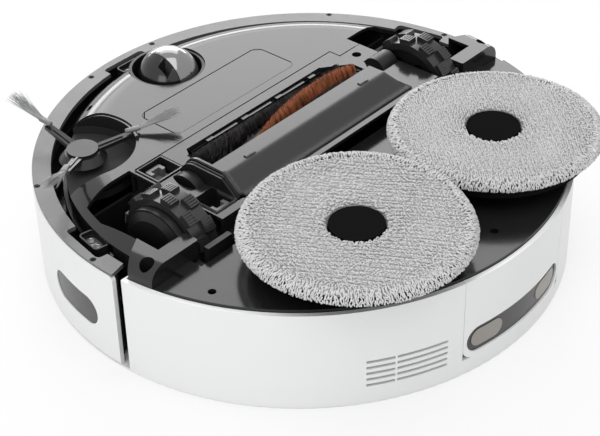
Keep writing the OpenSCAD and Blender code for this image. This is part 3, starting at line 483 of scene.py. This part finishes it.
# The pile: its spacing, where it ends at the hub and the rim, and how deep its top lies
LOOP_ROW = 1.4 * MM
LOOP_STEP = 1.5 * MM
PILE_HOLE = 18.4 * MM
PILE_INSET = 5.5 * MM
PILE_DROP = 1.5 * MM
FURROW = 3.6 * MM
FURROW_DEPTH = 1.0 * MM
HUB_SLOPE = 4 * MM
HUB_DROP = 1.4 * MM
# The rim's loops: their rows and spacing, and the quarter round that they cover
RIM_ROWS = 7
RIM_STEP = 1.2 * MM
RIM_INSET = 5.2 * MM
RIM_WIDE = 6.0 * MM


def pad_sizes(node):
    low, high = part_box(node)
    centre = (low + high) / 2
    return centre, (high.x - low.x) / 2, low.z, high.z


def wavy(x, y, seed):
    """A smooth value from -1 to 1 that wanders over the pad."""
    a, b, c = seed
    return (
        np.sin(62 * x + 4 * a + 1.5 * np.sin(40 * y + b))
        + np.sin(48 * y - 3 * b + 1.7 * np.sin(55 * x + c))
        + np.sin(31 * (x + y) + c)
    ) / 3


def puffed(points, centre, outer, puff):
    """Pads aren't quite round: their soft rim reaches out all round, and further towards one side.

    puff is how far it grows all round, how much more on one side, how much it rises there, all in mm, and
    that side's angle in degrees.
    """
    even, lobe, rise, side = puff
    flat = points[..., :2] - np.array([centre.x, centre.y])
    r = np.linalg.norm(flat, axis=-1)
    near_rim = np.clip((r / outer - 0.45) / 0.55, 0, None) ** 1.5
    angle = np.arctan2(flat[..., 1], flat[..., 0]) - math.radians(side)
    lean = np.maximum(np.cos(angle), 0) ** 2
    grow = (even + lobe * lean) * near_rim * MM / np.maximum(r, 1e-6)
    moved = points.copy()
    moved[..., :2] += flat * grow[..., None]
    moved[..., 2] += rise * MM * lean * near_rim
    return moved


def pad_backing(node, material, seed, puff):
    """The cloth ring under the pile: a crowned closed ring with a soft rounded rim."""
    centre, outer, z0, z1 = pad_sizes(node)
    rim = outer - CLOTH_INSET
    thick = (z1 - z0) - CLOTH_DROP
    profile = [
        (CLOTH_HOLE, z0 + 0.5 * MM),
        (CLOTH_HOLE, z0 + thick * 0.4),
        (CLOTH_HOLE + 1.2 * MM, z0 + thick * 0.6),
    ]
    crown = np.linspace(0, 1, 9)
    top_r = np.linspace(CLOTH_HOLE + 4.5 * MM, rim - CLOTH_ROUND, len(crown))
    profile += [(r, z0 + thick * (0.93 + 0.07 * math.sin(math.pi * k))) for r, k in zip(top_r, crown)]
    for a in np.radians([70, 50, 30, 10, -15, -45, -75]):
        r = rim - CLOTH_ROUND + CLOTH_ROUND * math.cos(a)
        profile.append((r, z0 + thick / 2 + thick * 0.46 * math.sin(a)))
    r, height = np.array(profile).T
    angle = np.arange(PAD_SIDES) * 2 * math.pi / PAD_SIDES
    x, y = r * np.cos(angle)[:, None], r * np.sin(angle)[:, None]
    edge = np.clip((r - rim + 8 * MM) / (8 * MM), 0, 1)
    swell = 1 + edge * 0.006 * wavy(x * 3, y * 3, seed)
    z = height + 0.25 * MM * wavy(x * 1.6, y * 1.6, seed)
    points = np.stack([centre.x + x * swell, centre.y + y * swell, z], axis=-1)
    n = len(profile)
    faces = []
    for i in range(PAD_SIDES):
        j = (i + 1) % PAD_SIDES
        for k in range(n):
            m = (k + 1) % n
            faces.append((i * n + k, j * n + k, j * n + m, i * n + m))
    return mesh_object(node + "_cloth", puffed(points, centre, outer, puff), faces, material)


def loop_paths(node, seed, grain):
    """Small arched yarn loops in wandering lines along the grain, which turn outwards near the rim."""
    centre, outer, _, z1 = pad_sizes(node)
    rim = outer - PILE_INSET
    u, v = (a.ravel() for a in np.meshgrid(
        np.arange(-outer, outer, LOOP_STEP), np.arange(-outer, outer, LOOP_ROW)
    ))
    u = u + rng.uniform(-0.5, 0.5, len(u)) * LOOP_STEP
    v = v + rng.normal(0, 0.22, len(v)) * MM + 1.7 * MM * wavy(u * 0.9, v * 0.9, seed)
    heading = math.radians(grain)
    x = u * math.cos(heading) - v * math.sin(heading)
    y = u * math.sin(heading) + v * math.cos(heading)
    r = np.hypot(x, y)
    kept = (r > PILE_HOLE) & (r < rim)
    x, y, r, u, v = x[kept], y[kept], r[kept], u[kept], v[kept]

    a = np.arctan2(y, x)
    turn = heading + 0.5 * wavy(x * 0.8, y * 0.8, seed) + rng.normal(0, 0.2, len(r))
    near_rim = np.clip((r - rim + 7 * MM) / (7 * MM), 0, 1) ** 1.5
    facing = np.where(np.cos(turn - a) < 0, -1.0, 1.0)
    direction = unit(
        np.stack([np.cos(turn), np.sin(turn)], axis=-1) * (facing * (1 - near_rim))[:, None]
        + np.stack([np.cos(a), np.sin(a)], axis=-1) * near_rim[:, None] * 1.4
    )
    across = np.stack([-direction[:, 1], direction[:, 0]], axis=-1)
    length = rng.uniform(1.4, 2.2, len(r)) * MM
    bend = rng.normal(0, 0.3, len(r)) * MM
    height = rng.uniform(0.8, 1.3, len(r)) * MM

    t = np.linspace(0, 1, LOOP_RINGS)
    flat = (
        np.stack([x, y], axis=-1)[:, None]
        + direction[:, None] * (length[:, None] * (t - 0.5))[..., None]
        + across[:, None] * (bend[:, None] * np.sin(2 * math.pi * t))[..., None]
    )
    furrow = np.sin(2 * math.pi * v / FURROW + 2.6 * wavy(u * 1.3, v * 1.3, seed))
    top = z1 - PILE_DROP + 0.3 * MM * wavy(x * 2, y * 2, seed) - near_rim * 0.3 * MM
    top -= FURROW_DEPTH * np.clip(furrow - 0.2, 0, None) * (1 - near_rim)
    top -= HUB_DROP * np.clip((PILE_HOLE + HUB_SLOPE - r) / HUB_SLOPE, 0, 1)
    z = top[:, None] - 0.4 * MM + height[:, None] * np.sin(math.pi * t)
    return np.concatenate([flat, z[..., None]], axis=-1) + np.array([centre.x, centre.y, 0])


def rim_paths(node):
    """Yarn loops that lie across the rounded rim, from the top of the pile down to its lower edge."""
    centre, outer, z0, z1 = pad_sizes(node)
    deep = z1 - z0 - 2.6 * MM
    made = []
    for row in np.linspace(0.12, 1.0, RIM_ROWS):
        r_mid = outer - RIM_INSET + RIM_WIDE * math.sin(row * math.pi / 2)
        count = int(2 * math.pi * r_mid / RIM_STEP)
        a = (np.arange(count) + rng.uniform(-0.5, 0.5, count)) * 2 * math.pi / count
        where = row + rng.normal(0, 0.06, count)
        half = rng.uniform(0.09, 0.16, count)
        t = np.linspace(0, 1, LOOP_RINGS)
        slide = (where[:, None] + half[:, None] * (2 * t - 1)).clip(0, 1.25) * math.pi / 2
        lift = rng.uniform(0.3, 0.95, count)[:, None] * np.sin(math.pi * t) * MM
        r = outer - RIM_INSET + (RIM_WIDE + lift) * np.sin(slide) - 0.5 * MM
        z = z1 - CLOTH_DROP - deep * (1 - np.cos(slide)) + lift * np.cos(slide)
        turn = a[:, None] + rng.normal(0, 0.010, count)[:, None] * (t - 0.5)
        made.append(np.stack([
            centre.x + r * np.cos(turn), centre.y + r * np.sin(turn), np.maximum(z, z0 + 0.6 * MM),
        ], axis=-1))
    return np.concatenate(made)


def add_mop(side, materials, seed, grain, puff):
    """A mop pad: its cloth ring stands for the CAD pad, and its yarn rides along."""
    node = "mop_pad_" + side
    cloth = pad_backing(node, materials["mop_cloth"], seed, puff)
    centre, outer = pad_sizes(node)[:2]
    paths = puffed(np.concatenate([loop_paths(node, seed, grain), rim_paths(node)]), centre, outer, puff)
    pile = strands(node + "_pile", paths, LOOP_RADII, YARN_SIDES, materials["mop_pile"])
    for piece in (cloth, pile):
        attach(piece, side + "_mop")
    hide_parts(node)


# ---------------------------------------------------------------- main brush

BRUSH_CORE_R = 10.6 * MM
# The leading row's angle in degrees is ROW_LEAD at x = ROW_TURN_X, in mm, and curls on either side of it
ROW_LEAD = -17
ROW_TURN_X = -48
ROW_CURL = 0.007
ROW_CURL_END = 0.025
# Each colour's rows: their angles in degrees, the spread of their roots in radians, and how much of that
# spread is left at the tips
BRUSH_ROWS = {
    "orange": {"phases": [0, 180], "foot": (-0.08, 0.5), "upright": 0.3},
    "black": {"phases": [60, 120, 240, 300], "foot": (-0.5, 0.5), "upright": 0.95},
}
TUFT_STEP = 1.2 * MM
TUFT_HAIRS = 12
HAIR_RADII = np.array([0.3, 0.27, 0.24, 0.16]) * MM
HAIR_SIDES = 4


def row_turn(x):
    """Angle of the leading row at x, from straight up towards the rear, in radians."""
    d = x / MM - ROW_TURN_X
    return np.radians(ROW_LEAD + np.where(d > 0, ROW_CURL, ROW_CURL_END) * d * d)


def brush_row(phase, rows, ends, axis, tip):
    """Tufts of bristles along one curved row; their roots stand wider apart than their tips."""
    x = np.repeat(np.arange(ends[0] + 0.5 * MM, ends[1] - 0.3 * MM, TUFT_STEP), TUFT_HAIRS)
    count = len(x)
    angle = row_turn(x) + math.radians(phase)
    x = x + rng.normal(0, 0.16, count) * MM
    foot = rng.uniform(*rows["foot"], count)
    end = foot * rows["upright"] + rng.normal(0, 0.02, count)
    length = tip - BRUSH_CORE_R - rng.uniform(0, 0.9, count) ** 2 * MM
    lean = rng.normal(0, 0.15, count) * MM
    t = np.linspace(0, 1, len(HAIR_RADII))
    r = BRUSH_CORE_R + length[:, None] * t
    turn = angle[:, None] + foot[:, None] * (1 - t) + end[:, None] * t
    return np.stack([
        x[:, None] + lean[:, None] * t,
        axis[0] + r * np.sin(turn),
        axis[1] + r * np.cos(turn),
    ], axis=-1)


def add_main_brush(materials):
    """The main brush's bristles, which replace the CAD rows and turn with their core."""
    core_low, core_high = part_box("brush_core")
    low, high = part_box("black_bristles")
    axis = ((core_low.y + core_high.y) / 2, (core_low.z + core_high.z) / 2)
    tip = (high.z - low.z) / 2
    for color, rows in BRUSH_ROWS.items():
        slot = "bristle_" + color
        paths = [brush_row(phase, rows, (low.x, high.x), axis, tip) for phase in rows["phases"]]
        hairs = strands(color + "_hairs", np.concatenate(paths), HAIR_RADII, HAIR_SIDES, materials[slot])
        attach(hairs, "main_brush")
        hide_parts(color + "_bristles")


# ---------------------------------------------------------------- seams, painted shade

SEAM_HALF = 0.4 * MM
SEAM_RISE = 0.04 * MM
SEAM_DEPTH = 0.5 * MM
GUARD_TOP = 85 * MM
# Routes of the seams on the base, seen from above, in mm
GUARD_LINE = ((103.5, -47.6), (-83.3, -47.6), (-83.3, -38))
PLATE_LINE = ((-84, -39.55), (-101, -39.55))
BATTERY_LINE = ((57, -60), (57, -87), (52, -92), (-52, -92), (-57, -87), (-57, -60))


def seam_shade_strip(name, route, level, material):
    """A thin dark strip along a joint between two mouldings, with mitred corners: painted shade that stands
    in for the shadow in the joint's gap.
    """
    route = np.array(route) * MM
    ahead = np.vstack([route[1:], 2 * route[-1:] - route[-2:-1]])
    behind = np.vstack([2 * route[:1] - route[1:2], route[:-1]])
    first, second = unit(route - behind), unit(ahead - route)
    outward = unit(first + second)[:, ::-1] * np.array([1, -1])
    outward /= np.sum(outward * (first[:, ::-1] * np.array([1, -1])), axis=1, keepdims=True)
    low, high = level - SEAM_DEPTH, level + SEAM_RISE
    corners = []
    for side, height in ((-1, low), (-1, high), (1, high), (1, low)):
        flat = route + outward * SEAM_HALF * side
        corners.append(np.column_stack([flat, np.full(len(flat), height)]))
    n = len(route)
    faces = [
        (k * n + i, k * n + i + 1, (k + 1) % 4 * n + i + 1, (k + 1) % 4 * n + i)
        for k in range(4) for i in range(n - 1)
    ]
    faces += [tuple(k * n for k in range(3, -1, -1)), tuple(k * n + n - 1 for k in range(4))]
    # A dark sheet as painted shade, laid where the gap's shadow falls
    seam = mesh_object(name, np.array(corners), faces, material, smooth=False)
    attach(seam, "chassis")


def add_seam_shades(material):
    """Painted shade in the battery cover's, the screw plate's and the brush guard's seams."""
    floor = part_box("battery_cover")[1].z
    seam_shade_strip("battery_seam_shade", BATTERY_LINE, floor, material)
    seam_shade_strip("plate_seam_shade", PLATE_LINE, floor, material)
    seam_shade_strip("guard_seam_shade", GUARD_LINE, GUARD_TOP, material)


# ---------------------------------------------------------------- side brush

SIDE_ARMS = (30, 150, 270)
TUFT_ROOT = 28.7 * MM
TUFT_BOUND = 38.5 * MM
TUFT_RISE = 1.2 * MM
SIDE_REACH = 66 * MM
SIDE_HAIRS = 110
SIDE_RADII = np.array([0.2, 0.19, 0.18, 0.17, 0.15, 0.12, 0.07]) * MM
# Stations along a root, with its half width and half thickness at each
ROOT_STATIONS = np.array([0, 0.08, 0.3, 0.6, 0.9, 1.0])
ROOT_WIDTHS = np.array([1.5, 2.0, 2.0, 2.2, 2.4, 2.0]) * MM
ROOT_DEPTHS = np.array([0.5, 0.95, 1.1, 1.15, 1.1, 0.8]) * MM
ROOT_SIDES = 16
ROOT_SQUARE = 0.6


def squared(wave):
    """Pushes a sine or cosine outwards, so that the oval it draws becomes a rounded bar."""
    return np.sign(wave) * np.abs(wave) ** ROOT_SQUARE


def bound_root(name, x0, y0, z0, material):
    """The moulded root of each side-brush tuft: a flat oval bar that widens towards the hairs."""
    around = np.arange(ROOT_SIDES) * 2 * math.pi / ROOT_SIDES
    rings, faces = [], []
    for turn in np.radians(SIDE_ARMS):
        start = len(rings) * ROOT_SIDES
        for s, width, depth in zip(ROOT_STATIONS, ROOT_WIDTHS, ROOT_DEPTHS):
            out = TUFT_ROOT + (TUFT_BOUND - TUFT_ROOT) * s
            across = width * squared(np.cos(around))
            rings.append(np.stack([
                x0 + out * math.cos(turn) - across * math.sin(turn),
                y0 + out * math.sin(turn) + across * math.cos(turn),
                z0 + 0.6 * s * MM + depth * squared(np.sin(around)),
            ], axis=-1))
        for k in range(len(ROOT_STATIONS) - 1):
            ring = start + k * ROOT_SIDES
            for i in range(ROOT_SIDES):
                a, b = ring + i, ring + (i + 1) % ROOT_SIDES
                faces.append((a, b, b + ROOT_SIDES, a + ROOT_SIDES))
        last = start + (len(ROOT_STATIONS) - 1) * ROOT_SIDES
        faces.append([start + i for i in range(ROOT_SIDES - 1, -1, -1)])
        faces.append([last + i for i in range(ROOT_SIDES)])
    return mesh_object(name, np.concatenate(rings), faces, material)


def add_side_brush(materials):
    """Three fans of pale bristles, each bound in a flat root on the tip of an arm."""
    joint = next(j for j in record["behaviour"]["joints"] if j["name"] == "side_brush_spin")
    x0, y0 = joint["pos_m"][:2]
    z0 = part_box("side_brush_bristles")[0].z + TUFT_RISE
    t = np.linspace(0, 1, len(SIDE_RADII))
    start = TUFT_BOUND - 1.5 * MM
    paths = []
    for turn in np.radians(SIDE_ARMS):
        k = rng.normal(0, 0.5, SIDE_HAIRS).clip(-1, 1)[:, None]
        layer = rng.uniform(-1, 1, SIDE_HAIRS)[:, None]
        reach = SIDE_REACH - start - rng.uniform(0, 1, SIDE_HAIRS)[:, None] ** 1.6 * 11 * MM
        curl = rng.normal(0, 1.0, SIDE_HAIRS)[:, None]
        out = start + reach * t
        fan = (1.6 * k + 3.1 * k * t + curl * t ** 2.2) * MM
        paths.append(np.stack([
            x0 + out * math.cos(turn) - fan * math.sin(turn),
            y0 + out * math.sin(turn) + fan * math.cos(turn),
            z0 + (0.6 + 0.5 * layer + (1.1 * layer + 7.5) * t) * MM,
        ], axis=-1))
    hairs = strands(
        "side_brush_hairs", np.concatenate(paths), SIDE_RADII, HAIR_SIDES, materials["bristle_pale"]
    )
    roots = bound_root("side_brush_roots", x0, y0, z0, materials["root_grey"])
    for piece in (hairs, roots):
        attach(piece, "side_brush")
    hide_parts("side_brush_bristles")


add_camera()
add_studio()
materials = make_materials()
add_mop("left", materials, seed=(1.5, 0.4, 2.2), grain=48, puff=(-1.2, 2.4, 0.8, 135))
add_mop("right", materials, seed=(0.3, 2.9, 4.1), grain=122, puff=(2.6, 3.2, 2.0, 222))
add_main_brush(materials)
# Dark strips of painted shade along the seams
add_seam_shades(materials["matt_black"])
add_side_brush(materials)
